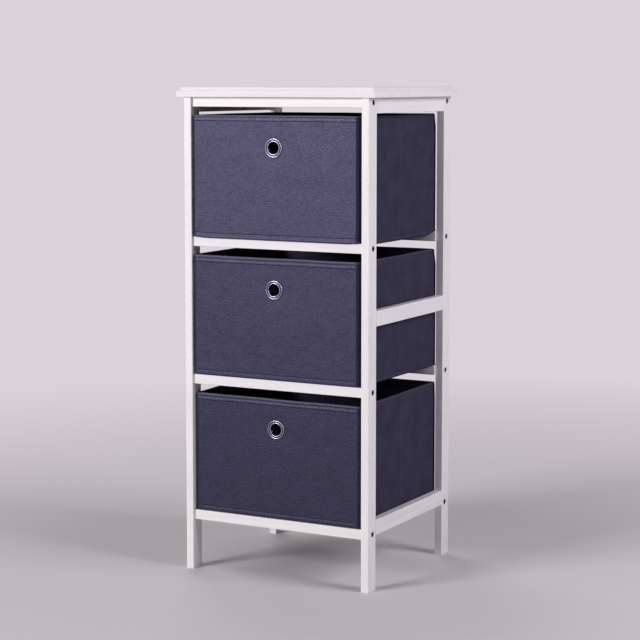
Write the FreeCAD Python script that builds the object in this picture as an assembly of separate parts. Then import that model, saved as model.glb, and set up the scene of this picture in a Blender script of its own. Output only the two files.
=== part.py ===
import FreeCAD
import Part
import math
import os

# Storage shelf with storage boxes.
# A white painted wooden frame holds three open-topped folding fabric boxes. The frame has two ladder sides,
# each of two posts and three rails, joined by front and rear cross rails at four levels and closed by a top
# board. Each box stands on a front and a rear cross rail and slides out to the front.
# Millimetres. +Z is up, the front is -Y, +X is to the right of someone who faces the front, and the origin is
# on the floor under the middle of the shelf.

# Whole frame, over the outer faces of the posts
shelf_height = 900.0
frame_width = 382.0
frame_depth = 342.0

# Top board: a band, and a thinner lip on it that is set in from the band's edge
board_thickness = 18.0
board_side_overhang = 13.5
board_end_overhang = 6.0
board_lip_height = 6.0
board_lip_inset = 6.0
board_band_round = 2.5
board_lip_round = 2.5

# Posts: battens with their wide faces to the sides
post_thickness = 15.0
post_width = 30.0
post_edge_round = 1.2

# Side rails, as thick as the posts and dowelled between them; the bottom pair is a little above the cross rails
side_rail_height = 28.0
bottom_side_rail_rise = 5.0
rail_edge_round = 1.0

# Cross rails: battens that lie flat between the side frames
cross_rail_height = 18.0
cross_rail_depth = 30.0
cross_rail_setback = 5.0
lowest_cross_rail_base = 94.0

# Frame bolts with a hexagon socket, one through a post into each end of a cross rail
bolt_inset = 17.0
bolt_head_diameter = 10.0
bolt_head_height = 6.0
bolt_head_sink = 0.6
bolt_head_round = 0.6
bolt_shank_diameter = 6.0
bolt_reach = 24.0
socket_width = 5.0
socket_depth = 3.0
bolt_play = 0.25

# Threaded inserts in the ends of the cross rails
insert_diameter = 9.0
insert_length = 18.0
insert_play = 0.05
thread_play = 0.05
bolt_end_space = 2.0

# Glued dowels between the side rails and the posts, stopped short of the bolts in the posts
dowel_diameter = 6.0
dowel_rail_bite = 20.0
dowel_pitch = 14.0
dowel_play = 0.05
dowel_end_space = 0.5
dowel_wood = 0.75

# Screws that go up through the top cross rails into the board
screw_diameter = 4.0
screw_head_diameter = 8.0
screw_head_height = 2.6
screw_head_sink = 0.4
screw_bite = 12.0
screw_spacing = 220.0
screw_play = 0.05

# Storage boxes: the room that is left round each one in its bay, and how far back its front stands
box_left_gap = 1.2
box_right_gap = 4.8
box_rim_gap = 14.4
box_rest_gap = 0.3
box_depth_shortfall = 28.0
bottom_box_setback = 8.0
middle_box_setback = 2.0
top_box_setback = 1.0
box_corner_round = 6.0
box_foot_round = 2.0
box_rim_round = 1.8

# Box walls: a stiff board between two layers of fabric
fabric_thickness = 1.0
stiffener_thickness = 2.4
stiffener_play = 0.1
stiffener_rim_margin = 4.0
stiffener_foot_margin = 4.0
box_floor_thickness = 1.6
fold_gap = 3.0

# Loose base insert, small enough to pass the eyelet on its way out
base_insert_thickness = 3.0
base_insert_play = 0.6
base_insert_corner_round = 3.0

# Eyelets: two rolled beads with a groove between them, a tube through the wall and a curl behind the washer
eyelet_outer_diameter = 35.0
eyelet_hole_diameter = 22.0
eyelet_drop = 58.5
eyelet_wall = 0.8
eyelet_bead_width = 2.6
eyelet_bead_height = 1.9
eyelet_groove_height = 0.6
eyelet_play = 0.1
eyelet_curl_width = 2.2
washer_thickness = 0.8
washer_diameter = 33.0

# One length past a face, for every cut that goes through it
overrun = 5.0

# How far the ends of a flat edge may differ in height
flat_tolerance = 0.01

# Directions, and how close to parallel an edge has to be to count
along_x = FreeCAD.Vector(1, 0, 0)
along_y = FreeCAD.Vector(0, 1, 0)
along_z = FreeCAD.Vector(0, 0, 1)
parallel_share = 0.999

# Places that several pieces share
half_width = frame_width / 2
half_depth = frame_depth / 2
post_top = shelf_height - board_thickness
post_inner_x = half_width - post_thickness
post_inner_y = half_depth - post_width
highest_cross_rail_base = post_top - cross_rail_height
cross_rail_step = (highest_cross_rail_base - lowest_cross_rail_base) / 3
cross_rail_bases = {
    "bottom": lowest_cross_rail_base,
    "lower": lowest_cross_rail_base + cross_rail_step,
    "upper": lowest_cross_rail_base + 2 * cross_rail_step,
    "top": highest_cross_rail_base,
}
bottom_side_rail_base = lowest_cross_rail_base + bottom_side_rail_rise
highest_side_rail_base = post_top - side_rail_height
side_rail_bases = {
    "bottom": bottom_side_rail_base,
    "middle": (bottom_side_rail_base + highest_side_rail_base) / 2,
    "top": highest_side_rail_base,
}
rail_outer_y = half_depth - cross_rail_setback
rail_inner_y = rail_outer_y - cross_rail_depth
rail_middle_y = (rail_outer_y + rail_inner_y) / 2
bolt_y = half_depth - bolt_inset
bolt_heights = [base + cross_rail_height / 2 for base in cross_rail_bases.values()]
bolt_hole_radius = bolt_head_diameter / 2 + bolt_play
dowel_post_bite = post_width - bolt_inset - bolt_hole_radius - dowel_wood - dowel_end_space
side_signs = {"left": -1, "right": 1}
end_signs = {"front": -1, "rear": 1}

# Size and place of a box
box_width = 2 * post_inner_x - box_left_gap - box_right_gap
box_depth = frame_depth - box_depth_shortfall
box_height = cross_rail_step - cross_rail_height - box_rest_gap - box_rim_gap
box_middle_x = (box_left_gap - box_right_gap) / 2
wall_thickness = 2 * fabric_thickness + stiffener_thickness + 2 * stiffener_play
eyelet_barrel_diameter = eyelet_hole_diameter + 2 * eyelet_wall
eyelet_curl_depth = wall_thickness + washer_thickness + 2 * eyelet_play
eyelet_back_depth = eyelet_curl_depth + eyelet_wall
box_supports = {
    "bottom": (cross_rail_bases["bottom"] + cross_rail_height, bottom_box_setback),
    "middle": (cross_rail_bases["lower"] + cross_rail_height, middle_box_setback),
    "top": (cross_rail_bases["upper"] + cross_rail_height, top_box_setback),
}


def block(low, high):
    """A box between its lowest and its highest corner."""
    return Part.makeBox(high[0] - low[0], high[1] - low[1], high[2] - low[2], FreeCAD.Vector(*low))


def rod(diameter, start, direction, length):
    """A round bar from a start point."""
    return Part.makeCylinder(diameter / 2, length, FreeCAD.Vector(*start), direction)


def edges_along(shape, direction):
    """The straight edges of a shape that run along a direction."""
    found = []
    for edge in shape.Edges:
        tangent = edge.tangentAt(edge.FirstParameter)
        if isinstance(edge.Curve, Part.Line) and abs(tangent.dot(direction)) > parallel_share:
            found.append(edge)
    return found


def edges_at_height(shape, height):
    """The edges of a shape that lie flat at one height."""
    return [edge for edge in shape.Edges
            if max(abs(edge.BoundBox.ZMin - height), abs(edge.BoundBox.ZMax - height)) < flat_tolerance]


def batten(low, high, direction, radius):
    """A length of batten whose long edges are rounded."""
    bar = block(low, high)
    return bar.makeFillet(radius, edges_along(bar, direction))


def placed(near, far, sign):
    """A stretch between two distances from the middle, on the side that the sign names."""
    return (near, far) if sign > 0 else (-far, -near)


# Bolts and dowels are placed by the same functions that cut their holes
def bolt_places(sign):
    """The start of each bolt of one side, on the outer face of its post."""
    return [(sign * half_width, end * bolt_y, height) for height in bolt_heights for end in end_signs.values()]


def dowel_places(sign):
    """Where each dowel of one side crosses the joint between a post and a side rail."""
    middle_x = sign * (half_width - post_thickness / 2)
    places = []
    for base in side_rail_bases.values():
        for offset in (-dowel_pitch / 2, dowel_pitch / 2):
            for end in end_signs.values():
                places.append((middle_x, end * post_inner_y, base + side_rail_height / 2 + offset))
    return places


def dowel(place, play):
    """One dowel across a joint, or its hole when play is given."""
    outward = 1 if place[1] > 0 else -1
    spare = dowel_end_space if play > 0 else 0
    start = (place[0], place[1] + outward * (dowel_post_bite + spare), place[2])
    length = dowel_post_bite + dowel_rail_bite + 2 * spare
    return rod(dowel_diameter + 2 * play, start, along_y * -outward, length)


def bolt(place, sign):
    """One socket head bolt that points inwards from its post's outer face."""
    inward = along_x * -sign
    head_start = place[0] - sign * bolt_head_sink
    shank_start = head_start - sign * bolt_head_height
    shank_length = post_thickness - bolt_head_sink - bolt_head_height + bolt_reach
    head = rod(bolt_head_diameter, (head_start, place[1], place[2]), inward, bolt_head_height)
    crown = [edge for edge in head.Edges
             if isinstance(edge.Curve, Part.Circle) and edge.Curve.Center.x * sign > shank_start * sign]
    head = head.makeFillet(bolt_head_round, crown)
    corner_radius = socket_width / math.sqrt(3)
    corners = []
    for turn in range(7):
        angle = math.radians(60 * turn)
        y = place[1] + corner_radius * math.cos(angle)
        z = place[2] + corner_radius * math.sin(angle)
        corners.append(FreeCAD.Vector(head_start + sign * overrun, y, z))
    socket = Part.Face(Part.makePolygon(corners)).extrude(inward * (overrun + socket_depth))
    shank = rod(bolt_shank_diameter, (shank_start, place[1], place[2]), inward, shank_length)
    return head.cut(socket).fuse(shank).removeSplitter()


def bolt_hole(place, sign):
    """The counterbored hole that a bolt needs in its post."""
    inward = along_x * -sign
    outside = (place[0] + sign * overrun, place[1], place[2])
    counterbore_depth = overrun + bolt_head_sink + bolt_head_height
    counterbore = rod(2 * bolt_hole_radius, outside, inward, counterbore_depth)
    through = rod(bolt_shank_diameter + 2 * bolt_play, outside, inward, post_thickness + 2 * overrun)
    return counterbore.fuse(through)


def insert_sleeve(place, sign):
    """One threaded insert in the end of a cross rail."""
    inward = along_x * -sign
    start = (sign * post_inner_x, place[1], place[2])
    sleeve = rod(insert_diameter, start, inward, insert_length)
    return sleeve.cut(rod(bolt_shank_diameter + 2 * thread_play, start, inward, insert_length))


def insert_hole(place, sign):
    """The stepped hole that an insert and the end of its bolt need in a cross rail."""
    inward = along_x * -sign
    outside = (sign * (post_inner_x + overrun), place[1], place[2])
    seat = rod(insert_diameter + 2 * insert_play, outside, inward, overrun + insert_length)
    reach = rod(bolt_shank_diameter + 2 * bolt_play, outside, inward, overrun + bolt_reach + bolt_end_space)
    return seat.fuse(reach)


def screw_places():
    """The lowest point of each board screw's axis, on the underside of a top cross rail."""
    return [(side * screw_spacing / 2, end * rail_middle_y, highest_cross_rail_base)
            for side in side_signs.values() for end in end_signs.values()]


def screw(place, play):
    """One countersunk screw that points up, or its hole when play is given."""
    head_start = place[2] + screw_head_sink
    length = cross_rail_height - screw_head_sink + screw_bite + play
    cone = Part.makeCone(screw_head_diameter / 2 + play, screw_diameter / 2 + play, screw_head_height,
                         FreeCAD.Vector(place[0], place[1], head_start), along_z)
    whole = cone.fuse(rod(screw_diameter + 2 * play, (place[0], place[1], head_start), along_z, length))
    if play > 0:
        mouth = (place[0], place[1], place[2] - overrun)
        whole = whole.fuse(rod(screw_head_diameter + 2 * play, mouth, along_z, overrun + screw_head_sink))
    return whole.removeSplitter()


def top_board():
    """The board with its stepped and rounded edge."""
    band_x = half_width + board_side_overhang
    band_y = half_depth + board_end_overhang
    band_top = shelf_height - board_lip_height
    band = block((-band_x, -band_y, post_top), (band_x, band_y, band_top))
    band = band.makeFillet(board_band_round, edges_along(band, along_z))
    band = band.makeFillet(board_band_round, edges_at_height(band, band_top))
    lip_x = band_x - board_lip_inset
    lip_y = band_y - board_lip_inset
    lip = block((-lip_x, -lip_y, post_top), (lip_x, lip_y, shelf_height))
    lip = lip.makeFillet(board_lip_round, edges_along(lip, along_z))
    lip = lip.makeFillet(board_lip_round, edges_at_height(lip, shelf_height))
    board = band.fuse(lip).removeSplitter()
    for place in screw_places():
        board = board.cut(screw(place, screw_play))
    return board


def post(side, end):
    """One upright, bored for its bolts and its dowels."""
    sign = side_signs[side]
    low_x, high_x = placed(post_inner_x, half_width, sign)
    low_y, high_y = placed(post_inner_y, half_depth, end_signs[end])
    upright = batten((low_x, low_y, 0), (high_x, high_y, post_top), along_z, post_edge_round)
    for place in bolt_places(sign):
        if low_y < place[1] < high_y:
            upright = upright.cut(bolt_hole(place, sign))
    for place in dowel_places(sign):
        if place[1] * end_signs[end] > 0:
            upright = upright.cut(dowel(place, dowel_play))
    return upright


def side_rail(side, level):
    """One rail of a ladder side, bored for its dowels."""
    sign = side_signs[side]
    low_x, high_x = placed(post_inner_x, half_width, sign)
    base = side_rail_bases[level]
    low = (low_x, -post_inner_y, base)
    high = (high_x, post_inner_y, base + side_rail_height)
    rail = batten(low, high, along_y, rail_edge_round)
    for place in dowel_places(sign):
        if base < place[2] < base + side_rail_height:
            rail = rail.cut(dowel(place, dowel_play))
    return rail


def cross_rail(end, level):
    """One rail between the side frames, bored at both ends for the inserts."""
    low_y, high_y = placed(rail_inner_y, rail_outer_y, end_signs[end])
    base = cross_rail_bases[level]
    low = (-post_inner_x, low_y, base)
    high = (post_inner_x, high_y, base + cross_rail_height)
    rail = batten(low, high, along_x, rail_edge_round)
    for sign in side_signs.values():
        for place in bolt_places(sign):
            if low_y < place[1] < high_y and base < place[2] < base + cross_rail_height:
                rail = rail.cut(insert_hole(place, sign))
    if level == "top":
        for place in screw_places():
            if low_y < place[1] < high_y:
                rail = rail.cut(screw(place, screw_play))
    return rail


def box_corners(level):
    """The lowest and the highest corner of a box's cover."""
    support, setback = box_supports[level]
    low = (box_middle_x - box_width / 2, setback - half_depth, support + box_rest_gap)
    high = (low[0] + box_width, low[1] + box_depth, low[2] + box_height)
    return low, high


def stiffeners(level, play):
    """The boards in the walls of a box, or their pockets when play is given: front, rear and four halves."""
    low, high = box_corners(level)
    skin = fabric_thickness + stiffener_play - play
    thick = stiffener_thickness + 2 * play
    bottom = low[2] + stiffener_foot_margin - play
    top = high[2] - stiffener_rim_margin + play
    end_x = wall_thickness - play
    fold_y = (low[1] + high[1]) / 2
    front = block((low[0] + end_x, low[1] + skin, bottom), (high[0] - end_x, low[1] + skin + thick, top))
    rear = block((low[0] + end_x, high[1] - skin - thick, bottom), (high[0] - end_x, high[1] - skin, top))
    halves = []
    for near_x in (low[0] + skin, high[0] - skin - thick):
        for start_y, end_y in ((low[1] + end_x, fold_y - fold_gap / 2 + play),
                               (fold_y + fold_gap / 2 - play, high[1] - end_x)):
            halves.append(block((near_x, start_y, bottom), (near_x + thick, end_y, top)))
    return front.cut(eyelet_hole(level)), rear, halves


def eyelet_hole(level):
    """The round hole through the front wall that the eyelet's tube fits."""
    low, high = box_corners(level)
    start = (box_middle_x, low[1] - overrun, high[2] - eyelet_drop)
    return rod(eyelet_barrel_diameter + 2 * eyelet_play, start, along_y, wall_thickness + 2 * overrun)


def box_cover(level):
    """The sewn cover of a box: four walls with pockets for the boards, and a floor."""
    low, high = box_corners(level)
    shell = block(low, high)
    shell = shell.makeFillet(box_corner_round, edges_along(shell, along_z))
    shell = shell.makeFillet(box_foot_round, edges_at_height(shell, low[2]))
    room_low = (low[0] + wall_thickness, low[1] + wall_thickness, low[2] + box_floor_thickness)
    room_high = (high[0] - wall_thickness, high[1] - wall_thickness, high[2] + overrun)
    room = block(room_low, room_high)
    room = room.makeFillet(box_corner_round - wall_thickness, edges_along(room, along_z))
    shell = shell.cut(room)
    shell = shell.makeFillet(box_rim_round, edges_at_height(shell, high[2]))
    front, rear, halves = stiffeners(level, stiffener_play)
    for pocket in [front, rear] + halves:
        shell = shell.cut(pocket)
    return shell.cut(eyelet_hole(level))


def base_insert(level):
    """The loose stiff panel that lies on the floor of a box."""
    low, high = box_corners(level)
    inset = eyelet_back_depth + base_insert_play
    floor = low[2] + box_floor_thickness + box_rest_gap
    panel = block((low[0] + inset, low[1] + inset, floor),
                  (high[0] - inset, high[1] - inset, floor + base_insert_thickness))
    return panel.makeFillet(base_insert_corner_round, edges_along(panel, along_z))


def eyelet_point(level, radius, depth):
    """A point of an eyelet's section: a distance from its axis, and a depth behind the box's front face."""
    low, high = box_corners(level)
    return FreeCAD.Vector(box_middle_x + radius, low[1] + depth, high[2] - eyelet_drop)


def eyelet_bead(level, radius):
    """The rolled bead of an eyelet's face that starts at a radius."""
    return Part.Arc(eyelet_point(level, radius, -eyelet_groove_height),
                    eyelet_point(level, radius + eyelet_bead_width / 2, -eyelet_bead_height),
                    eyelet_point(level, radius + eyelet_bead_width, -eyelet_groove_height)).toShape()


def eyelet(level):
    """The metal eyelet, turned about its axis."""
    inner = eyelet_hole_diameter / 2
    barrel = eyelet_barrel_diameter / 2
    outer = eyelet_outer_diameter / 2
    curl = barrel + eyelet_curl_width
    groove = Part.makeLine(eyelet_point(level, inner + eyelet_bead_width, -eyelet_groove_height),
                           eyelet_point(level, outer - eyelet_bead_width, -eyelet_groove_height))
    outline = [(outer, -eyelet_groove_height), (outer, -eyelet_play), (barrel, -eyelet_play),
               (barrel, eyelet_curl_depth), (curl, eyelet_curl_depth), (curl, eyelet_back_depth),
               (inner, eyelet_back_depth), (inner, -eyelet_groove_height)]
    back = Part.makePolygon([eyelet_point(level, *pair) for pair in outline])
    inner_bead = eyelet_bead(level, inner)
    outer_bead = eyelet_bead(level, outer - eyelet_bead_width)
    section = Part.Wire([inner_bead, groove, outer_bead] + back.Edges)
    return Part.Face(section).revolve(eyelet_point(level, 0, 0), along_y, 360)


def eyelet_washer(level):
    """The flat ring between the inside of the front wall and the eyelet's curl."""
    centre = eyelet_point(level, 0, wall_thickness + eyelet_play)
    ring = Part.makeCylinder(washer_diameter / 2, washer_thickness, centre, along_y)
    return ring.cut(eyelet_hole(level))


def frame_nodes():
    """Every node of the wooden frame and its fasteners."""
    nodes = {"top_board": top_board()}
    for side, sign in side_signs.items():
        for end in end_signs:
            nodes[f"{end}_{side}_post"] = post(side, end)
        for level in side_rail_bases:
            nodes[f"{side}_{level}_side_rail"] = side_rail(side, level)
        bolts = [bolt(place, sign) for place in bolt_places(sign)]
        inserts = [insert_sleeve(place, sign) for place in bolt_places(sign)]
        dowels = [dowel(place, 0) for place in dowel_places(sign)]
        nodes[f"{side}_frame_bolts"] = Part.makeCompound(bolts)
        nodes[f"{side}_rail_inserts"] = Part.makeCompound(inserts)
        nodes[f"{side}_side_frame_dowels"] = Part.makeCompound(dowels)
    for end in end_signs:
        for level in cross_rail_bases:
            nodes[f"{end}_{level}_rail"] = cross_rail(end, level)
    nodes["top_board_screws"] = Part.makeCompound([screw(place, 0) for place in screw_places()])
    return nodes


def box_nodes(level):
    """Every node of one storage box."""
    front, rear, halves = stiffeners(level, 0)
    return {
        f"{level}_box_cover": box_cover(level),
        f"{level}_box_front_board": front,
        f"{level}_box_rear_board": rear,
        f"{level}_box_side_boards": Part.makeCompound(halves),
        f"{level}_box_base_insert": base_insert(level),
        f"{level}_box_eyelet": eyelet(level),
        f"{level}_box_eyelet_washer": eyelet_washer(level),
    }


def main():
    nodes = frame_nodes()
    for level in box_supports:
        nodes.update(box_nodes(level))
    os.makedirs("parts", exist_ok=True)
    for name, shape in nodes.items():
        shape.exportStep(f"parts/{name}.step")
        print(name, len(shape.Solids), "valid" if shape.isValid() else "not valid", round(shape.Volume))
    print(len(nodes), "nodes")


main()
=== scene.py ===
import math
import bmesh
import bpy
from mathutils import Matrix, Vector, noise


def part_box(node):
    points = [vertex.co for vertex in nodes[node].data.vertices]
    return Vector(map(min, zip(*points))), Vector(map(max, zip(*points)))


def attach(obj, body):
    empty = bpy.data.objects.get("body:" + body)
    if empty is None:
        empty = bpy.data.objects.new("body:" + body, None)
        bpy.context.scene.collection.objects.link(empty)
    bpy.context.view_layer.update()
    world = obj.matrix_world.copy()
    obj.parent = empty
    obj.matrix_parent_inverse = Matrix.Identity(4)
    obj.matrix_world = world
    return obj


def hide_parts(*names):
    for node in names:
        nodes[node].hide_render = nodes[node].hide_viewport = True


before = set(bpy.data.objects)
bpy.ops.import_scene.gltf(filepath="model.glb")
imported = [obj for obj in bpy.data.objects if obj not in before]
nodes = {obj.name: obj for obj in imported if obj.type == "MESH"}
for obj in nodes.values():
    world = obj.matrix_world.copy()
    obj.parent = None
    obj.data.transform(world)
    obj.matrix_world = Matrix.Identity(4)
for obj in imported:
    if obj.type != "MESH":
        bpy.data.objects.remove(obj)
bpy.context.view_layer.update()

# Storage shelf with storage boxes: a white painted wooden frame with three dark cloth boxes.
# Metres, in the frame of the CAD model: the front is -Y, and +X is to the right of someone who
# faces it.

LEVELS = ("bottom", "middle", "top")
MM = 0.001
QUARTER_TURN = math.pi / 2

# The range that most values of a noise lie in
NOISE_RANGE = (0.3, 0.7)

# Cloth walls of a box, as the CAD cover has them
wall_depth = 4.6 * MM
floor_depth = 1.6 * MM
corner_radius = 6 * MM
rim_radius = 1.8 * MM
foot_radius = 3 * MM
skin_depth = 0.3 * wall_depth

# Eyelet in the front wall
eyelet_drop = 58.5 * MM
eyelet_hole_radius = 11.9 * MM
eyelet_reach = 17.5 * MM
eyelet_groove_radius = 14.25 * MM
eyelet_groove_half_width = 0.7 * MM
eyelet_shade_reach = eyelet_reach + 2.4 * MM

# Hem and foot seam: a drop is measured down from the rim, and a rise up from the foot
hem_height = 11 * MM
hem_lift = 0.7 * MM
hem_step = 0.3 * MM
hem_groove_drop = 4.4 * MM
hem_seam_drop = 7.3 * MM
hem_slip = {"bottom": 1.6 * MM, "middle": 1.5 * MM, "top": -0.4 * MM}
hem_slip_end = 45 * MM
foot_seam_rise = 7 * MM
foot_groove_rise = 9.7 * MM
foot_roll_top = 6.6 * MM
foot_roll_lift = {"bottom": 0.02 * MM, "middle": 0.06 * MM, "top": 0.5 * MM}
seam_sink = 0.45 * MM
seam_half_width = 0.9 * MM
side_hem_share = 0.25

# Upright ridges at the corners, and the line down each side wall where the box folds
corner_ridge_inset = 6.6 * MM
corner_ridge_lift = 0.45 * MM
corner_ridge_half_width = 1.3 * MM
corner_ridge_ease = 2 * MM
# Width of the near-black painted shade down the rear corners
rear_painted_shade_width = 12 * MM
fold_lift = 0.25 * MM
fold_half_width = 2.5 * MM
fold_lining_half_width = 3 * MM
fold_cut_reach = 2 * MM

# Stitches
thread_radius = 0.46 * MM
thread_raise = 0.4 * thread_radius
hem_stitch = {"pitch": 6.1 * MM, "length": 3.5 * MM, "slant": 0.8}
foot_stitch = {"pitch": 5.2 * MM, "length": 2.3 * MM}
stitch_margin = corner_radius + 1.5 * MM

# Painted shade along the hem and the foot, for the shadow in the grooves, under the stitches and
# under the hem's edge: where the middle lies, half the width, how dark it is
hem_painted_shade = (
    (hem_height + 0.7 * hem_step, 0.9 * MM, 1.0),
    (hem_groove_drop, seam_half_width, 0.6),
    (hem_seam_drop, 2.2 * MM, 0.9),
)
foot_painted_shade = (
    (foot_groove_rise, seam_half_width, 1.0),
    (foot_seam_rise, 1.7 * MM, 0.85),
)

# Paler cloth: pale wear and painted highlight from the rim down to nothing, and paler round the
# foot and along the fold
rim_pale_start = 1.5 * MM
rim_pale_end = 3.6 * MM
foot_pale = 0.15
foot_pale_half_width = 3 * MM
fold_pale = 0.8
fold_pale_half_width = MM

# How far the cloth stands off its boards in the middle of each wall, and how it ripples
front_swell = 0.5 * MM
rear_swell = 0.7 * MM
left_swell = 0.6 * MM
right_swell = 2.6 * MM
lining_sag = 0.9 * MM
floor_sag = 1.6 * MM
ripple = 0.28 * MM
fine_ripple = 0.4 * ripple
lining_ripple = 1.6 * ripple

# Waves of the ripples, for each metre
ripple_waves = 14
fine_ripple_share = 3.1
lining_waves_along = 16
lining_waves_up = 13
rim_waves = 11
insert_waves = 17

# How far the foot hangs, the rear leans out and the rim strays
foot_hang = {"bottom": 1.2 * MM, "middle": 1.0 * MM, "top": 6.2 * MM}
front_hang = {"bottom": 0.2 * MM, "middle": 0.3 * MM, "top": 2.3 * MM}
front_hang_depth = 3.4 * MM
rail_reach = 36 * MM
rear_reach = 8 * MM
rear_flare = {"bottom": 1.4 * MM, "middle": 4.2 * MM, "top": 3.4 * MM}
rim_drop = {"bottom": 2.0 * MM, "middle": 0.4 * MM, "top": 0.0}
rim_wander = 0.7 * MM
rim_wander_middle = 0.35

# Distances over which these shapes ease in or out
cloth_grip = 2 * MM
swell_ease = 14 * MM
lining_ease = 16 * MM
eyelet_clear = 1.5 * MM
eyelet_ease = 20 * MM
lining_eyelet_ease = 15 * MM
rim_ease = 40 * MM
flare_rim_ease = 30 * MM
front_rail_ease = 26 * MM
rear_rail_ease = 34 * MM
side_hang_height = 46 * MM
side_hang_inset = 30 * MM
front_hang_height = 60 * MM

# Base insert in its sewn cloth
insert_corner_radius = 3 * MM
insert_edge_radius = 1.2 * MM
insert_seam_inset = 8 * MM
insert_seam_half_width = 1.3 * MM
insert_seam_cut = 1.2 * MM
insert_seam_sink = 0.4 * MM
insert_ripple = 0.35 * MM
insert_ripple_start = 2 * MM
insert_ripple_end = 20 * MM
insert_seed = 20

# Mesh of the cloth, and the shift that keeps its UV maps of different sides apart
mesh_step = 6 * MM
cloth_offset = 0.37


# Node helpers
def add_node(tree, kind, settings=None, inputs=None):
    """A node with its settings, and its inputs linked or set."""
    node = tree.nodes.new(kind)
    for name, value in (settings or {}).items():
        setattr(node, name, value)
    for name, value in (inputs or {}).items():
        if isinstance(value, bpy.types.NodeSocket):
            tree.links.new(value, node.inputs[name])
        else:
            node.inputs[name].default_value = value
    return node


def calc(tree, operation, first, second=0.0, third=None):
    """The result of a Math node."""
    inputs = {0: first, 1: second}
    if third is not None:
        inputs[2] = third
    return add_node(tree, "ShaderNodeMath", {"operation": operation}, inputs).outputs[0]


def weighted_sum(tree, *parts):
    """The sum of values, each times its weight."""
    *others, (value, weight) = parts
    total = calc(tree, "MULTIPLY", value, weight)
    for value, weight in reversed(others):
        total = calc(tree, "MULTIPLY_ADD", value, weight, total)
    return total


def blend(tree, factor, first, second):
    """The result of mixing two colours."""
    inputs = {0: factor, 6: first, 7: second}
    return add_node(tree, "ShaderNodeMix", {"data_type": "RGBA"}, inputs).outputs[2]


def spread(tree, value, low, high, new_low=0.0, new_high=1.0):
    """A value moved from one range to another, with its ends held."""
    inputs = {"Value": value, "From Min": low, "From Max": high,
              "To Min": new_low, "To Max": new_high}
    return add_node(tree, "ShaderNodeMapRange", {"clamp": True}, inputs).outputs["Result"]


def vector_length(tree, vector):
    """How long a vector is."""
    settings = {"operation": "LENGTH"}
    return add_node(tree, "ShaderNodeVectorMath", settings, {0: vector}).outputs["Value"]


def centre_distance(tree, place, shift, scale=(1, 1, 1)):
    """How far a place is from a centre, which the shift moves to the origin."""
    inputs = {"Vector": place, "Location": shift, "Scale": scale}
    return vector_length(tree, add_node(tree, "ShaderNodeMapping", None, inputs).outputs[0])


def stretched_noise(tree, vector, scale, detail=2.0, roughness=0.5, distortion=0.0):
    """Noise that is drawn out along the directions whose scale is small."""
    mapping = add_node(tree, "ShaderNodeMapping", None, {"Vector": vector, "Scale": scale})
    inputs = {"Vector": mapping.outputs[0], "Scale": 1.0, "Detail": detail,
              "Roughness": roughness, "Distortion": distortion}
    return add_node(tree, "ShaderNodeTexNoise", {"normalize": True}, inputs).outputs["Fac"]


def object_place(tree):
    """The place on a piece, in the coordinates of its object."""
    return add_node(tree, "ShaderNodeTexCoord").outputs["Object"]


def cloth_place(tree):
    """The place on a piece, on its own UV map in metres."""
    return add_node(tree, "ShaderNodeUVMap", {"uv_map": "cloth"}).outputs["UV"]


def painted_value(tree, name):
    """A value that the mesh carries at each corner."""
    return add_node(tree, "ShaderNodeAttribute", {"attribute_name": name}).outputs["Fac"]


def effect(tree, group, place):
    """The values of a node group at a place."""
    return add_node(tree, "ShaderNodeGroup", {"node_tree": group}, {"Vector": place}).outputs


# Effect groups
def effect_group(name, pattern):
    """A node group that takes a Vector and puts out the values that a pattern returns."""
    group = bpy.data.node_groups.new(name, "ShaderNodeTree")
    group.interface.new_socket(name="Vector", in_out="INPUT", socket_type="NodeSocketVector")
    start = group.nodes.new("NodeGroupInput")
    values = pattern(group, start.outputs["Vector"])
    for output in values:
        group.interface.new_socket(name=output, in_out="OUTPUT", socket_type="NodeSocketFloat")
    end = group.nodes.new("NodeGroupOutput")
    for output, value in values.items():
        group.links.new(value, end.inputs[output])
    return group


def brushed_paint_pattern(group, vector):
    """Satin paint over softwood, with the grain and the brush marks along X."""
    grain = stretched_noise(group, vector, (5, 150, 150), 3.0, 0.55, 0.6)
    brush = stretched_noise(group, vector, (14, 1100, 1100), 2.0, 0.6)
    peel = stretched_noise(group, vector, (700, 700, 700), 1.0)
    cloud = stretched_noise(group, vector, (9, 16, 16), 3.0)
    lines = spread(group, grain, 0.35, 0.7)
    return {
        "Tone": weighted_sum(group, (lines, 0.35), (cloud, 0.65)),
        "Gloss": weighted_sum(group, (brush, 0.4), (cloud, 0.6)),
        "Height": weighted_sum(group, (lines, 0.5), (brush, 0.3), (peel, 0.35)),
    }


def linen_pattern(group, vector):
    """Fine linen-like cloth: crossing threads, thicker slubs and soft mottling."""
    warp = stretched_noise(group, vector, (1500, 160, 160), 2.0, 0.6)
    weft = stretched_noise(group, vector, (160, 1500, 160), 2.0, 0.6)
    upright = stretched_noise(group, vector, (620, 70, 70), 2.0, 0.6)
    across = stretched_noise(group, vector, (70, 620, 70), 2.0, 0.6)
    grit = stretched_noise(group, vector, (430, 430, 430), 2.0, 0.6)
    mottle = stretched_noise(group, vector, (32, 32, 32), 4.0, 0.6)
    patch = stretched_noise(group, vector, (150, 110, 110), 2.0, 0.6)
    speck = spread(group, grit, *NOISE_RANGE)
    threads = calc(group, "MAXIMUM", warp, weft)
    slubs = calc(group, "MAXIMUM", spread(group, upright, 0.45, 0.75),
                 spread(group, across, 0.45, 0.75))
    return {
        "Tone": weighted_sum(group, (slubs, 0.25), (speck, 0.25), (patch, 0.4), (mottle, 0.3)),
        "Fibre": threads,
        "Height": weighted_sum(group, (threads, 0.6), (slubs, 0.5), (speck, 1.6)),
    }


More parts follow.
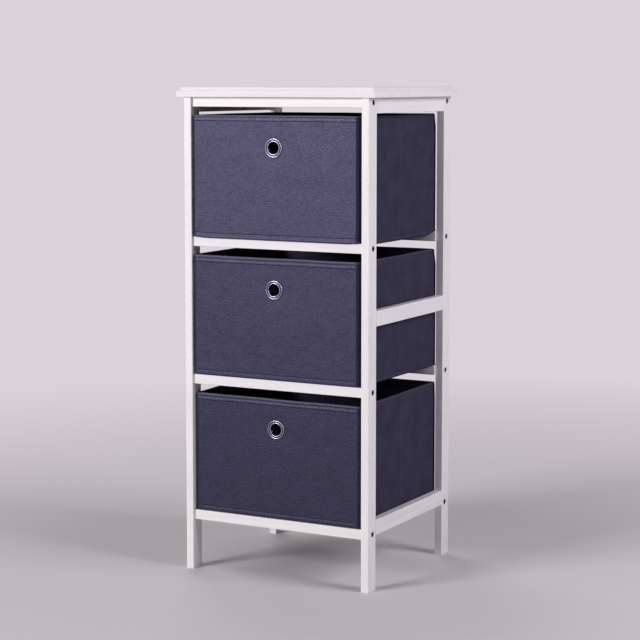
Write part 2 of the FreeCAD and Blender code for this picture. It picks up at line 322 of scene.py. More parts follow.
def nonwoven_pattern(group, vector):
    """Bonded non-woven cloth: a dimpled skin, loose fibres and a faint mottle."""
    fibre = stretched_noise(group, vector, (950, 950, 950), 3.0, 0.65, 1.2)
    mottle = stretched_noise(group, vector, (26, 26, 26), 3.0, 0.55)
    inputs = {"Vector": vector, "Scale": 620.0}
    cells = add_node(group, "ShaderNodeTexVoronoi", {"feature": "F1"}, inputs)
    dimple = spread(group, cells.outputs["Distance"], 0.1, 0.6)
    return {
        "Tone": weighted_sum(group, (fibre, 0.3), (mottle, 0.7)),
        "Height": weighted_sum(group, (fibre, 0.5), (dimple, 0.5)),
    }


def handled_metal_pattern(group, vector):
    """Plated metal that has been handled: fine scratches, smudges and a slightly uneven skin."""
    scratch = stretched_noise(group, vector, (2600, 260, 900), 2.0, 0.7)
    smudge = stretched_noise(group, vector, (240, 240, 240), 3.0, 0.6)
    skin = stretched_noise(group, vector, (1300, 1300, 1300), 2.0)
    return {
        "Tone": weighted_sum(group, (skin, 0.4), (smudge, 0.6)),
        "Smudge": smudge,
        "Height": weighted_sum(group, (scratch, 0.6), (skin, 0.5)),
    }


brushed_paint = effect_group("brushed paint", brushed_paint_pattern)
linen = effect_group("linen cloth", linen_pattern)
nonwoven = effect_group("non-woven cloth", nonwoven_pattern)
handled_metal = effect_group("handled metal", handled_metal_pattern)


# Materials
def new_material(name, shader_inputs):
    """A material with a Principled shader whose plain values are set on its own sockets."""
    material = bpy.data.materials.new(name)
    material.use_nodes = True
    shader = material.node_tree.nodes["Principled BSDF"]
    for socket, value in shader_inputs.items():
        shader.inputs[socket].default_value = value
    return material, material.node_tree, shader


def surface(tree, shader, colour, roughness, height, strength, distance):
    """Feeds a shader its colour, its roughness, and a height as bump."""
    tree.links.new(colour, shader.inputs["Base Color"])
    tree.links.new(roughness, shader.inputs["Roughness"])
    inputs = {"Height": height, "Strength": strength, "Distance": distance}
    bump = add_node(tree, "ShaderNodeBump", None, inputs)
    tree.links.new(bump.outputs["Normal"], shader.inputs["Normal"])


def painted_wood(name, turn, smooth=0.34, rough=0.5, coat=0.12):
    """White paint with its grain along X before the turn."""
    inputs = {"IOR": 1.48, "Coat Weight": coat, "Coat Roughness": 0.28}
    material, tree, shader = new_material(name, inputs)
    inputs = {"Vector": object_place(tree), "Rotation": turn}
    turned = add_node(tree, "ShaderNodeMapping", None, inputs).outputs[0]
    paint = effect(tree, brushed_paint, turned)
    tone = spread(tree, paint["Tone"], 0.25, 0.75)
    colour = blend(tree, tone, (0.775, 0.742, 0.762, 1), (0.845, 0.820, 0.836, 1))
    roughness = spread(tree, paint["Gloss"], *NOISE_RANGE, smooth, rough)
    surface(tree, shader, colour, roughness, paint["Height"], strength=0.22, distance=0.25 * MM)
    return material


def sewn(tree, colour, roughness, paled):
    """A cloth's colour and roughness: painted shade and dullness in its seams' grooves, pale wear
    and painted highlight along its rim.
    """
    wear_and_highlight = calc(tree, "MULTIPLY", painted_value(tree, "wear_and_highlight"), 0.7)
    groove_shade = painted_value(tree, "groove_shade")
    # Pale wear and painted highlight along the rim
    worn = blend(tree, wear_and_highlight, colour, paled)
    # Painted shade in the grooves of the seams, under the stitches and under the hem's edge
    shaded_in_grooves = blend(tree, calc(tree, "MULTIPLY", groove_shade, 0.75), worn, (0.004, 0.0035, 0.007, 1))
    return shaded_in_grooves, calc(tree, "MAXIMUM", roughness, calc(tree, "MULTIPLY", groove_shade, 0.95))


def eyelet_centre(level):
    """The middle of a box's eyelet."""
    low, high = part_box(f"{level}_box_eyelet")
    return (low + high) / 2


def front_cloth(level, dark, light, shine):
    """The linen-look cloth on the front of a box, with painted shadow and dull roughness close
    round the eyelet.
    """
    inputs = {"Specular IOR Level": shine, "Specular Tint": (0.6, 0.58, 1, 1)}
    material, tree, shader = new_material(f"front cloth, {level}", inputs)
    place = cloth_place(tree)
    weave = effect(tree, linen, place)
    colour = blend(tree, spread(tree, weave["Tone"], 0.35, 0.65), dark, light)
    roughness = calc(tree, "MULTIPLY", spread(tree, weave["Fibre"], 0.4, 0.7, 0.5, 0.38),
                     spread(tree, weave["Tone"], 0.33, 0.67, 1.18, 0.85))
    colour, roughness = sewn(tree, colour, roughness, (0.085, 0.08, 0.115, 1))
    centre = eyelet_centre(level)
    radius = centre_distance(tree, place, (-centre.x - cloth_offset, -centre.z, 0))
    # Painted shadow close round the eyelet
    free = spread(tree, radius, eyelet_reach, eyelet_shade_reach, 0.25, 1.0)
    colour = blend(tree, free, (0.003, 0.0025, 0.006, 1), colour)
    dull = spread(tree, radius, eyelet_reach, eyelet_shade_reach, 0.8, 0.0)
    roughness = calc(tree, "MAXIMUM", roughness, dull)
    surface(tree, shader, colour, roughness, weave["Height"], strength=0.75, distance=0.25 * MM)
    return material


def plain_cloth(name, dark, light, shine):
    """The smoother, plain cloth of the sides, rear, lining and corner binding, and the near-black
    painted shade at the rear corners.
    """
    inputs = {"Specular IOR Level": shine, "Specular Tint": (0.8, 0.8, 1, 1)}
    material, tree, shader = new_material(name, inputs)
    web = effect(tree, nonwoven, cloth_place(tree))
    colour = blend(tree, spread(tree, web["Tone"], *NOISE_RANGE), dark, light)
    roughness = spread(tree, web["Tone"], *NOISE_RANGE, 0.8, 0.65)
    colour, roughness = sewn(tree, colour, roughness, (0.06, 0.056, 0.085, 1))
    surface(tree, shader, colour, roughness, web["Height"], strength=0.3, distance=0.15 * MM)
    return material


def sewing_thread(name, dark, light):
    """Twisted thread, whose tone is uneven along each stitch."""
    inputs = {"Specular IOR Level": 0.6, "Specular Tint": (0.85, 0.83, 1, 1)}
    material, tree, shader = new_material(name, inputs)
    ply = stretched_noise(tree, object_place(tree), (2100, 2100, 2100), 1.0)
    colour = blend(tree, spread(tree, ply, 0.35, 0.65), dark, light)
    roughness = spread(tree, ply, *NOISE_RANGE, 0.75, 0.55)
    surface(tree, shader, colour, roughness, ply, strength=0.5, distance=0.1 * MM)
    return material


def plated_metal(name, dark, light, smooth, rough):
    """Plated or bare metal with handling marks."""
    material, tree, shader = new_material(name, {"Metallic": 1.0})
    marks = effect(tree, handled_metal, object_place(tree))
    colour = blend(tree, spread(tree, marks["Tone"], *NOISE_RANGE), dark, light)
    roughness = spread(tree, marks["Smudge"], *NOISE_RANGE, smooth, rough)
    surface(tree, shader, colour, roughness, marks["Height"], strength=0.12, distance=0.05 * MM)
    return material


def eyelet_nickel(level):
    """Dark polished nickel with painted shade and dull roughness in the groove between the eyelet's
    two beads.
    """
    material, tree, shader = new_material(f"eyelet nickel, {level}", {"Metallic": 1.0})
    place = object_place(tree)
    marks = effect(tree, handled_metal, place)
    centre = eyelet_centre(level)
    radius = centre_distance(tree, place, (-centre.x, 0, -centre.z), (1, 0, 1))
    away = calc(tree, "ABSOLUTE", calc(tree, "SUBTRACT", radius, eyelet_groove_radius))
    groove_shade = spread(tree, away, 0.4 * eyelet_groove_half_width, 2 * eyelet_groove_half_width,
                    1.0, 0.0)
    tone = spread(tree, marks["Tone"], *NOISE_RANGE)
    unshaded = blend(tree, tone, (0.24, 0.23, 0.30, 1), (0.37, 0.36, 0.44, 1))
    # Painted shade in the groove between the beads
    colour = blend(tree, groove_shade, unshaded, (0.02, 0.02, 0.03, 1))
    worn = spread(tree, marks["Smudge"], *NOISE_RANGE, 0.2, 0.32)
    roughness = calc(tree, "MULTIPLY_ADD", groove_shade, 0.4, worn)
    surface(tree, shader, colour, roughness, marks["Height"], strength=0.06, distance=0.03 * MM)
    return material


def fibre_board():
    """The grey board inside the walls."""
    material, tree, shader = new_material("grey fibre board", {"Specular IOR Level": 0.3})
    fibre = stretched_noise(tree, object_place(tree), (240, 240, 240), 5.0, 0.7, 0.8)
    tone = spread(tree, fibre, *NOISE_RANGE)
    colour = blend(tree, tone, (0.25, 0.23, 0.21, 1), (0.42, 0.39, 0.35, 1))
    roughness = spread(tree, fibre, *NOISE_RANGE, 0.95, 0.8)
    surface(tree, shader, colour, roughness, fibre, strength=0.4, distance=0.2 * MM)
    return material


def bare_beech():
    """The dowels: pale beech with short flecks."""
    material, tree, shader = new_material("bare beech", {"Specular IOR Level": 0.4})
    fleck = stretched_noise(tree, object_place(tree), (1500, 120, 1500), 3.0, 0.6)
    tone = spread(tree, fleck, 0.35, 0.7)
    colour = blend(tree, tone, (0.62, 0.44, 0.26, 1), (0.42, 0.27, 0.14, 1))
    roughness = spread(tree, fleck, *NOISE_RANGE, 0.6, 0.8)
    surface(tree, shader, colour, roughness, fleck, strength=0.3, distance=0.1 * MM)
    return material


wood_board = painted_wood("white paint, top board", (0, 0, 0), smooth=0.66, rough=0.8, coat=0.0)
wood_across = painted_wood("white paint, grain across", (0, 0, 0))
wood_deep = painted_wood("white paint, grain front to rear", (0, 0, QUARTER_TURN))
wood_upright = painted_wood("white paint, grain upright", (0, QUARTER_TURN, 0))
eyelet_metals = {level: eyelet_nickel(level) for level in LEVELS}
washer_metal = plated_metal("washer zinc", (0.40, 0.40, 0.41, 1), (0.56, 0.56, 0.58, 1),
                            smooth=0.3, rough=0.5)
bolt_metal = plated_metal("bolt steel", (0.035, 0.032, 0.037, 1), (0.08, 0.075, 0.083, 1),
                          smooth=0.3, rough=0.48)
insert_metal = plated_metal("insert zinc", (0.42, 0.38, 0.30, 1), (0.58, 0.54, 0.46, 1),
                            smooth=0.3, rough=0.5)
grey_board = fibre_board()
beech = bare_beech()
# The top box's front cloth is paler and the bottom's darker, with its shine stepping down too:
# painted light, for light that falls off from the top box to the bottom one
fronts = {
    "top": front_cloth("top", (0.006, 0.005, 0.013, 1), (0.034, 0.031, 0.059, 1), 0.6),
    "middle": front_cloth("middle", (0.0045, 0.004, 0.010, 1), (0.025, 0.023, 0.046, 1), 0.52),
    "bottom": front_cloth("bottom", (0.004, 0.0035, 0.009, 1), (0.019, 0.0175, 0.036, 1), 0.48),
}
plain = plain_cloth("plain cloth", (0.030, 0.026, 0.051, 1), (0.045, 0.040, 0.074, 1), 0.06)
binding = plain_cloth("corner binding", (0.009, 0.0075, 0.021, 1), (0.018, 0.015, 0.040, 1), 0.35)
# Near-black painted shade down the rear corners, where the cloth lies in shadow
rear_painted_shade = plain_cloth("rear corner painted shade", (0.003, 0.0025, 0.006, 1),
                           (0.008, 0.007, 0.015, 1), 0.0)
# The front's thread is paler than the plain thread of the same seams: painted light, for the light
# on the front
painted_lit_thread = sewing_thread("front thread, painted lit", (0.19, 0.18, 0.24, 1), (0.36, 0.35, 0.43, 1))
plain_thread = sewing_thread("plain thread", (0.035, 0.032, 0.052, 1), (0.08, 0.075, 0.11, 1))

# The materials of the CAD nodes that stay, by the ends of their names; the first that fits counts
finishes = (
    ("_eyelet_washer", washer_metal),
    ("_frame_bolts", bolt_metal),
    ("_board_screws", bolt_metal),
    ("_inserts", insert_metal),
    ("_dowels", beech),
    ("_post", wood_upright),
    ("_side_rail", wood_deep),
    ("_rail", wood_across),
    ("top_board", wood_board),
    ("", grey_board),
)


def finish_for(name):
    """The material of a CAD node that stays."""
    if name.endswith("_eyelet"):
        return eyelet_metals[name.split("_")[0]]
    return next(material for ending, material in finishes if name.endswith(ending))


for name, node in nodes.items():
    for material_slot in node.material_slots:
        material_slot.material = finish_for(name)


# Cloth covers
def ease(start, end, value):
    """A smooth step from 0 at the start to 1 at the end."""
    share = min(1.0, max(0.0, (value - start) / (end - start)))
    return share * share * (3 - 2 * share)


def hump(centre, half_width, value):
    """1 at a centre, easing to 0 at half a width from it."""
    return 1 - ease(0.0, half_width, abs(value - centre))


def bulge(lift, share, rise):
    """A lift in the middle of a wall that falls to 0 at its edges."""
    return lift * 4 * share * (1 - share) * 4 * rise * (1 - rise)


class Box:
    """One storage box: the bounds of its cover, and the seed of its folds."""

    def __init__(self, level):
        self.level = level
        self.seed = LEVELS.index(level)
        self.low, self.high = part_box(f"{level}_box_cover")
        self.tall = self.high.z - self.low.z


class Wall:
    """One wall of a box: which way it faces, and how a place on it is measured."""

    def __init__(self, name, outward, along, swell):
        self.name = name
        self.outward = Vector(outward)
        self.along = Vector(along)
        self.swell = swell

    def corner(self, box):
        """A corner of the box that lies on the wall's outer face."""
        return box.high if sum(self.outward) > 0 else box.low

    def depth(self, point, box):
        """How far a point is behind the wall's outer face."""
        return (self.corner(box) - point).dot(self.outward)

    def length(self, box):
        """How long the wall is."""
        return (box.high - box.low).dot(self.along)

    def reach(self, point, box):
        """How far a point is along the wall."""
        return (point - box.low).dot(self.along)

    def spot(self, across, up, start):
        """A place in the noise that no other wall of the box uses."""
        return Vector((across, up, start + sum(self.outward) * 5 + self.along.x * 9))


WALLS = (
    Wall("front", (0, -1, 0), (1, 0, 0), front_swell),
    Wall("rear", (0, 1, 0), (1, 0, 0), rear_swell),
    Wall("left", (-1, 0, 0), (0, 1, 0), left_swell),
    Wall("right", (1, 0, 0), (0, 1, 0), right_swell),
)


def eyelet_distance(reach, height, length, tall):
    """How far a place on a front wall is from the eyelet's middle."""
    centre = Vector((length / 2, tall - eyelet_drop))
    return (Vector((reach, height)) - centre).length


def hem_relief(drop):
    """How far the doubled cloth of the hem stands proud."""
    return hem_lift * (1 - ease(hem_height - hem_step, hem_height + hem_step, drop))


def groove_share(height, drop):
    """How deep a place is in the grooves that the hem and the foot seam press into the cloth."""
    return max(hump(hem_groove_drop, seam_half_width, drop),
               hump(foot_groove_rise, seam_half_width, height))


def skin_share(depth):
    """How much a place at a depth in a wall moves with the outer cloth."""
    return 1 - ease(0.1 * wall_depth, 0.9 * wall_depth, depth)


def skin_lift(wall, reach, height, box):
    """How far the outer cloth of a wall stands proud at a place."""
    length = wall.length(box)
    drop = box.tall - height
    share = reach / length
    rise = height / box.tall
    if wall.along.y:
        across = max(0.0, 1 - abs(2 * share - 1))
        upright = 0.55 + 0.45 * ease(0, 0.5, 1 - abs(2 * rise - 1))
        body = wall.swell * (across ** 1.25) * upright
        body += fold_lift * hump(length / 2, fold_half_width, reach)
    else:
        body = bulge(wall.swell, share, rise)
    spot = wall.spot(reach * ripple_waves, height * ripple_waves, box.seed * 3.7)
    body += ripple * noise.noise(spot) + fine_ripple * noise.noise(spot * fine_ripple_share)
    body *= ease(0, swell_ease, min(reach, length - reach, height, drop))
    if wall.name == "front":
        away = eyelet_distance(reach, height, length, box.tall)
        body *= ease(eyelet_reach + eyelet_clear, eyelet_reach + eyelet_ease, away)
    roll = foot_roll_lift[box.level] * (1 - ease(0.6 * foot_radius, foot_roll_top, height))
    ridge = corner_ridge_lift * max(
        hump(corner_ridge_inset, corner_ridge_half_width, reach),
        hump(length - corner_ridge_inset, corner_ridge_half_width, reach))
    ridge *= (ease(foot_radius, foot_radius + corner_ridge_ease, height)
              * (1 - 0.5 * ease(hem_height, hem_height - MM, drop)))
    relief = hem_relief(drop) + roll - seam_sink * groove_share(height, drop)
    if wall.along.y and drop < 2 * hem_height:
        relief *= side_hem_share
    return body + relief + ridge


def lining_lift(wall, reach, height, box):
    """How far the lining of a wall stands off its board into the box at a place."""
    length = wall.length(box)
    drop = box.tall - height
    share = min(1.0, max(0.0, reach / length))
    rise = min(1.0, max(0.0, height / box.tall))
    spot = wall.spot(reach * lining_waves_along, height * lining_waves_up, box.seed * 5.1 + 40)
    body = bulge(lining_sag, share, rise) + lining_ripple * (0.5 + noise.noise(spot))
    body *= ease(0, lining_ease, min(reach, length - reach, height, drop))
    if wall.name == "front":
        away = eyelet_distance(reach, height, length, box.tall)
        body *= ease(eyelet_reach, eyelet_reach + lining_eyelet_ease, away)
    if wall.along.y:
        body *= 1 - 0.8 * hump(length / 2, fold_lining_half_width, reach)
    return body + hem_relief(drop) - seam_sink * hump(hem_groove_drop, seam_half_width, drop)


def rim_shift(point, box):
    """How far the cloth near the rim lies above or below its level at a point."""
    low, high = box.low, box.high
    top = ease(high.z - rim_ease, high.z, point.z)
    spot = Vector((point.x * rim_waves, point.y * rim_waves, box.seed * 7.3))
    wander = rim_wander * (noise.noise(spot) - rim_wander_middle)
    drop = high.z - point.z
    slip = hem_slip[box.level] * ease(rim_radius, hem_groove_drop, drop)
    slip *= 1 - ease(1.5 * hem_height, hem_slip_end, drop)
    return top * (wander - rim_drop[box.level] * ease(high.y, low.y, point.y)) - slip


def flare(point, box):
    """How far the outer cloth of the right wall leans out towards the rear."""
    low, high = box.low, box.high
    rear = ease(low.y + 0.45 * (high.y - low.y), high.y - corner_radius, point.y)
    below_rim = 1 - 0.75 * ease(high.z - flare_rim_ease, high.z, point.z)
    return rear_flare[box.level] * rear * skin_share(high.x - point.x) * below_rim


def hang(point, box):
    """How far a wall's foot hangs: a side's between the rails, the front's over its rail."""
    height = point.z - box.low.z
    side = min(point.x - box.low.x, box.high.x - point.x)
    start = box.low.y + rail_reach
    end = box.high.y - rear_reach
    between = (ease(start, start + front_rail_ease, point.y)
               * (1 - ease(end - rear_rail_ease, end, point.y)))
    sides = (foot_hang[box.level] * between * (1 - ease(0, side_hang_height, height))
             * (1 - ease(wall_depth, side_hang_inset, side)))
    fore = 1 - ease(0.5 * front_hang_depth, front_hang_depth, point.y - box.low.y)
    ends = 0.45 + 0.55 * ease(corner_radius, side_hang_inset, side)
    front = front_hang[box.level] * fore * ends * (1 - ease(0, front_hang_height, height))
    return max(sides, front)


def floor_drop(point, box):
    """How far the cloth floor sags at a point."""
    low, high = box.low, box.high
    middle = (low + high) / 2
    across = 1 - abs(2 * (point.x - middle.x) / (high.x - low.x))
    deep = 1 - abs(2 * (point.y - middle.y) / (high.y - low.y))
    return floor_sag * ease(0, 0.5, across) * ease(0.28, 0.7, deep)


def cloth_shift(point, box):
    """How far a point of the plain cover moves to lie as sewn cloth does."""
    shift = Vector()
    height = point.z - box.low.z
    for wall in WALLS:
        depth = wall.depth(point, box)
        if depth > wall_depth + cloth_grip:
            continue
        reach = wall.reach(point, box)
        shift += wall.outward * skin_share(depth) * skin_lift(wall, reach, height, box)
        if height > floor_depth + MM:
            inner = 1 - ease(0.1 * cloth_grip, cloth_grip, abs(depth - wall_depth))
            shift -= wall.outward * inner * lining_lift(wall, reach, height, box)
    shift.x += flare(point, box)
    shift.z += rim_shift(point, box)
    sag = hang(point, box)
    if height < 0.2 * MM:
        sag = max(sag, floor_drop(point, box))
    shift.z -= sag
    return shift


def groove_painted_shade(height, drop):
    """How much painted shade darkens the cloth in its grooves, under its stitches and under the
    hem's edge.
    """
    hem = [dark * hump(centre, half_width, drop) for centre, half_width, dark in hem_painted_shade]
    foot = [dark * hump(centre, half_width, height) for centre, half_width, dark in foot_painted_shade]
    return max(hem + foot)


def wear_and_highlight_tone(height, drop):
    """How much paler the cloth is painted: pale wear and painted highlight, most along the rim."""
    return max(1 - ease(rim_pale_start, rim_pale_end, drop),
               foot_pale * hump(foot_radius + MM, foot_pale_half_width, height))


# Mesh helpers
def all_parts(bm):
    """Every corner, edge and face of a bmesh."""
    return bm.verts[:] + bm.edges[:] + bm.faces[:]


def bisect(bm, place, direction):
    """Cuts a mesh by a plane and keeps both sides."""
    bmesh.ops.bisect_plane(bm, geom=all_parts(bm), dist=1e-7, plane_co=place, plane_no=direction)


def slice_up(bm, low, axis, places):
    """Cuts a mesh across an axis at places measured from its low corner."""
    direction = Vector([float(index == axis) for index in range(3)])
    for place in places:
        bisect(bm, direction * (low[axis] + place), direction)


def cuts(start, end, step, fine=()):
    """Where to cut between two ends: at the fine places, and evenly where none of them is near."""
    count = max(1, round((end - start) / step))
    even = [start + (end - start) * index / count for index in range(1, count)]
    clear = [place for place in even if all(abs(place - other) > 0.35 * step for other in fine)]
    return sorted(fine) + clear


def both_ends(insets, length):
    """Places at the same insets from the start and the end of a length."""
    return insets + tuple(length - inset for inset in insets)


def project_cloth(bm):
    """Lays the UV map called cloth over a mesh in metres, from the side that each face looks to."""
    layer = bm.loops.layers.uv.new("cloth")
    for face in bm.faces:
        normal = face.normal
        flat = max(range(3), key=lambda axis: abs(normal[axis]))
        first, second = ((1, 2), (0, 2), (0, 1))[flat]
        for loop in face.loops:
            place = loop.vert.co
            loop[layer].uv = (place[first] + cloth_offset * flat, place[second])


def mesh_object(name, bm, *materials, smooth=True):
    """An object at the origin with the shape of a bmesh."""
    mesh = bpy.data.meshes.new(name)
    for face in bm.faces:
        face.smooth = smooth
    bm.to_mesh(mesh)
    bm.free()
    for material in materials:
        mesh.materials.append(material)
    piece = bpy.data.objects.new(name, mesh)
    bpy.context.scene.collection.objects.link(piece)
    return piece


def block(low, high):
    """A bmesh box between two corners."""
    bm = bmesh.new()
    bmesh.ops.create_cube(bm, size=1)
    bmesh.ops.scale(bm, vec=high - low, verts=bm.verts)
    bmesh.ops.translate(bm, vec=(low + high) / 2, verts=bm.verts)
    return bm


def upright_edges(bm):
    """The edges that rise from one height to another."""
    return [edge for edge in bm.edges if abs(edge.verts[0].co.z - edge.verts[1].co.z) > MM]


def edges_at(bm, height):
    """The edges that lie flat at a height and have a corner along them."""
    return [edge for edge in bm.edges
            if all(abs(vert.co.z - height) < 1e-6 for vert in edge.verts)
            and edge.calc_face_angle(0.0) > 0.5]


def round_edges(bm, edges, radius, segments):
    """Rounds edges of a mesh."""
    bmesh.ops.bevel(bm, geom=edges, offset=radius, offset_type="OFFSET", segments=segments,
                    profile=0.5, affect="EDGES", material=-1)


# Covers
def plain_cover(low, high):
    """The cover before its cloth is laid: rounded, open on top, in a mesh fine enough to move."""
    bm = block(low, high)
    round_edges(bm, upright_edges(bm), corner_radius, 5)
    lid = max(bm.faces, key=lambda face: face.calc_center_median().z)
    bmesh.ops.inset_region(bm, faces=[lid], thickness=wall_depth, use_even_offset=True)
    sunk = bmesh.ops.extrude_face_region(bm, geom=[lid])["geom"]
    if lid.is_valid:
        bmesh.ops.delete(bm, geom=[lid], context="FACES_ONLY")
    moved = [item for item in sunk if isinstance(item, bmesh.types.BMVert)]
    bmesh.ops.translate(bm, vec=(0, 0, low.z + floor_depth - high.z), verts=moved)
    round_edges(bm, edges_at(bm, high.z), rim_radius, 3)
    round_edges(bm, edges_at(bm, low.z), foot_radius, 3)
    width, depth, tall = high - low
    inset, ridge = corner_ridge_inset, corner_ridge_half_width
    corner = (corner_radius - 0.4 * MM, inset, inset + ridge, inset + 2 * ridge)
    slice_up(bm, low, 0, cuts(0, width, mesh_step, both_ends(corner, width)))
    fold = (depth / 2 - fold_cut_reach, depth / 2, depth / 2 + fold_cut_reach)
    walls = (front_hang_depth, depth - rear_painted_shade_width)
    fine = walls + fold + both_ends(corner, depth)
    slice_up(bm, low, 1, cuts(0, depth, mesh_step, fine))
    seams = [foot_roll_top - 2.4 * MM, foot_roll_top - 1.2 * MM, foot_roll_top]
    seams += [foot_groove_rise + part * seam_half_width for part in (-2, -1, -0.5, 0, 0.5, 1, 2)]
    seams += [tall - hem_groove_drop + part * seam_half_width for part in (-1, -0.5, 0, 0.5, 1)]
    seams += [tall - hem_height - part * hem_step for part in (-3, -1, 0, 1, 3, 6)]
    slice_up(bm, low, 2, cuts(0, tall, mesh_step, seams))
    bmesh.ops.recalc_face_normals(bm, faces=bm.faces)
    return bm


def cut_eyelet_hole(piece, low, high):
    """Cuts the round hole for the eyelet's tube through the front wall."""
    bm = bmesh.new()
    bmesh.ops.create_cone(bm, cap_ends=True, segments=64, radius1=eyelet_hole_radius,
                          radius2=eyelet_hole_radius, depth=6 * wall_depth,
                          matrix=Matrix.Rotation(QUARTER_TURN, 4, "X"))
    centre = ((low.x + high.x) / 2, low.y, high.z - eyelet_drop)
    bmesh.ops.translate(bm, vec=centre, verts=bm.verts)
    cutter = mesh_object("hole cutter", bm, plain)
    modifier = piece.modifiers.new("hole", "BOOLEAN")
    modifier.operation = "DIFFERENCE"
    modifier.solver = "EXACT"
    modifier.object = cutter
    bpy.context.view_layer.update()
    graph = bpy.context.evaluated_depsgraph_get()
    whole = bpy.data.meshes.new_from_object(piece.evaluated_get(graph))
    piece.modifiers.clear()
    piece.data = whole
    bpy.data.objects.remove(cutter)


def cover_cloths(level):
    """The materials of a cover, in the order of the numbers that cloth_number gives."""
    return fronts[level], plain, binding, rear_painted_shade


def cloth_number(middle, box):
    """Which of its cover's cloths a face has, by the face's middle."""
    aside = min(middle.x - box.low.x, box.high.x - middle.x)
    if aside < corner_ridge_inset and middle.y - box.low.y < corner_ridge_inset:
        return 2
    # The rear corners take the painted shade
    if aside < corner_ridge_inset and middle.y > box.high.y - rear_painted_shade_width:
        return 3
    if middle.y > box.low.y + skin_depth or middle.z < box.low.z + 0.5 * MM:
        return 1
    return 0


def outside(point, box):
    """Whether a point is on the outer face of a wall, away from its rounded rim and foot."""
    depth = min(wall.depth(point, box) for wall in WALLS)
    return depth < skin_depth and box.low.z + foot_radius < point.z < box.high.z - rim_radius


def lay_cloth(box, pattern, pattern_low):
    """The cover of one box: a copy of the pattern with its own folds."""
    level, low, high = box.level, box.low, box.high
    bm = bmesh.new()
    bm.from_mesh(pattern)
    bmesh.ops.translate(bm, vec=low - pattern_low, verts=bm.verts)
    for face in bm.faces:
        face.material_index = cloth_number(face.calc_center_median(), box)
    groove_shade = bm.verts.layers.float.new("groove_shade")
    wear_and_highlight = bm.verts.layers.float.new("wear_and_highlight")
    for vert in bm.verts:
        height, drop = vert.co.z - low.z, high.z - vert.co.z
        aside = min(vert.co.x - low.x, high.x - vert.co.x)
        # Pale wear and painted highlight along the rim; paler round the foot and along the fold
        vert[wear_and_highlight] = wear_and_highlight_tone(height, drop)
        if aside < 0.1 * MM:
            line = hump((high.y - low.y) / 2, fold_pale_half_width, vert.co.y - low.y)
            vert[wear_and_highlight] = max(vert[wear_and_highlight], fold_pale * line)
        # Painted shade in the grooves, under the stitches and under the hem's edge
        if outside(vert.co, box):
            vert[groove_shade] = groove_painted_shade(height, drop)
            if aside < skin_depth:
                vert[groove_shade] *= side_hem_share
        # Painted shade along the foot edge of the side walls
        elif aside < skin_depth and height < 1.1 * foot_radius:
            vert[groove_shade] = 1.0
        vert.co += cloth_shift(vert.co, box)
    bm.normal_update()
    project_cloth(bm)
    cover = mesh_object(f"{level}_box_cloth", bm, *cover_cloths(level))
    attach(cover, f"{level}_box")
    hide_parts(f"{level}_box_cover")


# Sewing
def stitch_row(room, pitch, length, slant=0.0):
    """A level row of short stitches from the origin towards +X, on cloth that faces -Y."""
    bm = bmesh.new()
    size = Matrix.Diagonal((length / 2, thread_radius, thread_radius, 1))
    place = Matrix.Translation((pitch / 2, 0, 0)) @ Matrix.Rotation(slant, 4, "Y")
    bmesh.ops.create_uvsphere(bm, u_segments=6, v_segments=4, radius=1, matrix=place @ size)
    bmesh.ops.spin(bm, geom=all_parts(bm), cent=(0, 0, 0), axis=(0, 0, 1), dvec=(pitch, 0, 0),
                   angle=0, steps=int(room / pitch) - 1, use_duplicate=True)
    return bm


def gather(whole, part):
    """Adds a bmesh to another one."""
    mesh = bpy.data.meshes.new("part")
    bmesh.ops.recalc_face_normals(part, faces=part.faces)
    part.to_mesh(mesh)
    part.free()
    whole.from_mesh(mesh)
    bpy.data.meshes.remove(mesh)


def sew(box):
    """The seams of one box: slanting rows round the hem, inside and out, and one round the foot."""
    level, low = box.level, box.low
    up = Vector((0, 0, 1))
    hem = box.tall - hem_seam_drop
    sewing = bmesh.new()
    for wall in WALLS:
        base = low + wall.outward * (wall.corner(box) - low).dot(wall.outward)
        room = wall.length(box) - 2 * stitch_margin
        # The front's stitches take the painted-lit thread, the other walls the thread's own colour
        shade = 0 if wall.name == "front" else 1
        rows = (
            (hem, 1, 0.0, skin_lift, hem_stitch, shade),
            (hem, -1, wall_depth, lining_lift, hem_stitch, 1),
            (foot_seam_rise, 1, 0.0, skin_lift, foot_stitch, shade),
        )
        for height, side, depth, lift, stitch, material_index in rows:
            row = stitch_row(room, **stitch)
            for face in row.faces:
                face.material_index = material_index
            for vert in row.verts:
                reach = stitch_margin + vert.co.x
                stand = lift(wall, reach, height, box) + thread_raise - vert.co.y
                out = side * stand - depth
                place = base + wall.along * reach + up * (height + vert.co.z)
                settle = rim_shift(place, box) - hang(place, box)
                lean = flare(place, box) if side > 0 else 0.0
                vert.co = place + wall.outward * out + Vector((lean, 0, settle))
            gather(sewing, row)
    stitches = mesh_object(f"{level}_box_stitches", sewing, painted_lit_thread, plain_thread)
    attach(stitches, f"{level}_box")


def laid_along(axis, reach, side):
    """X and Y of a place, from how far it lies along an axis and where it lies across it."""
    return (reach, side) if axis == 0 else (side, reach)


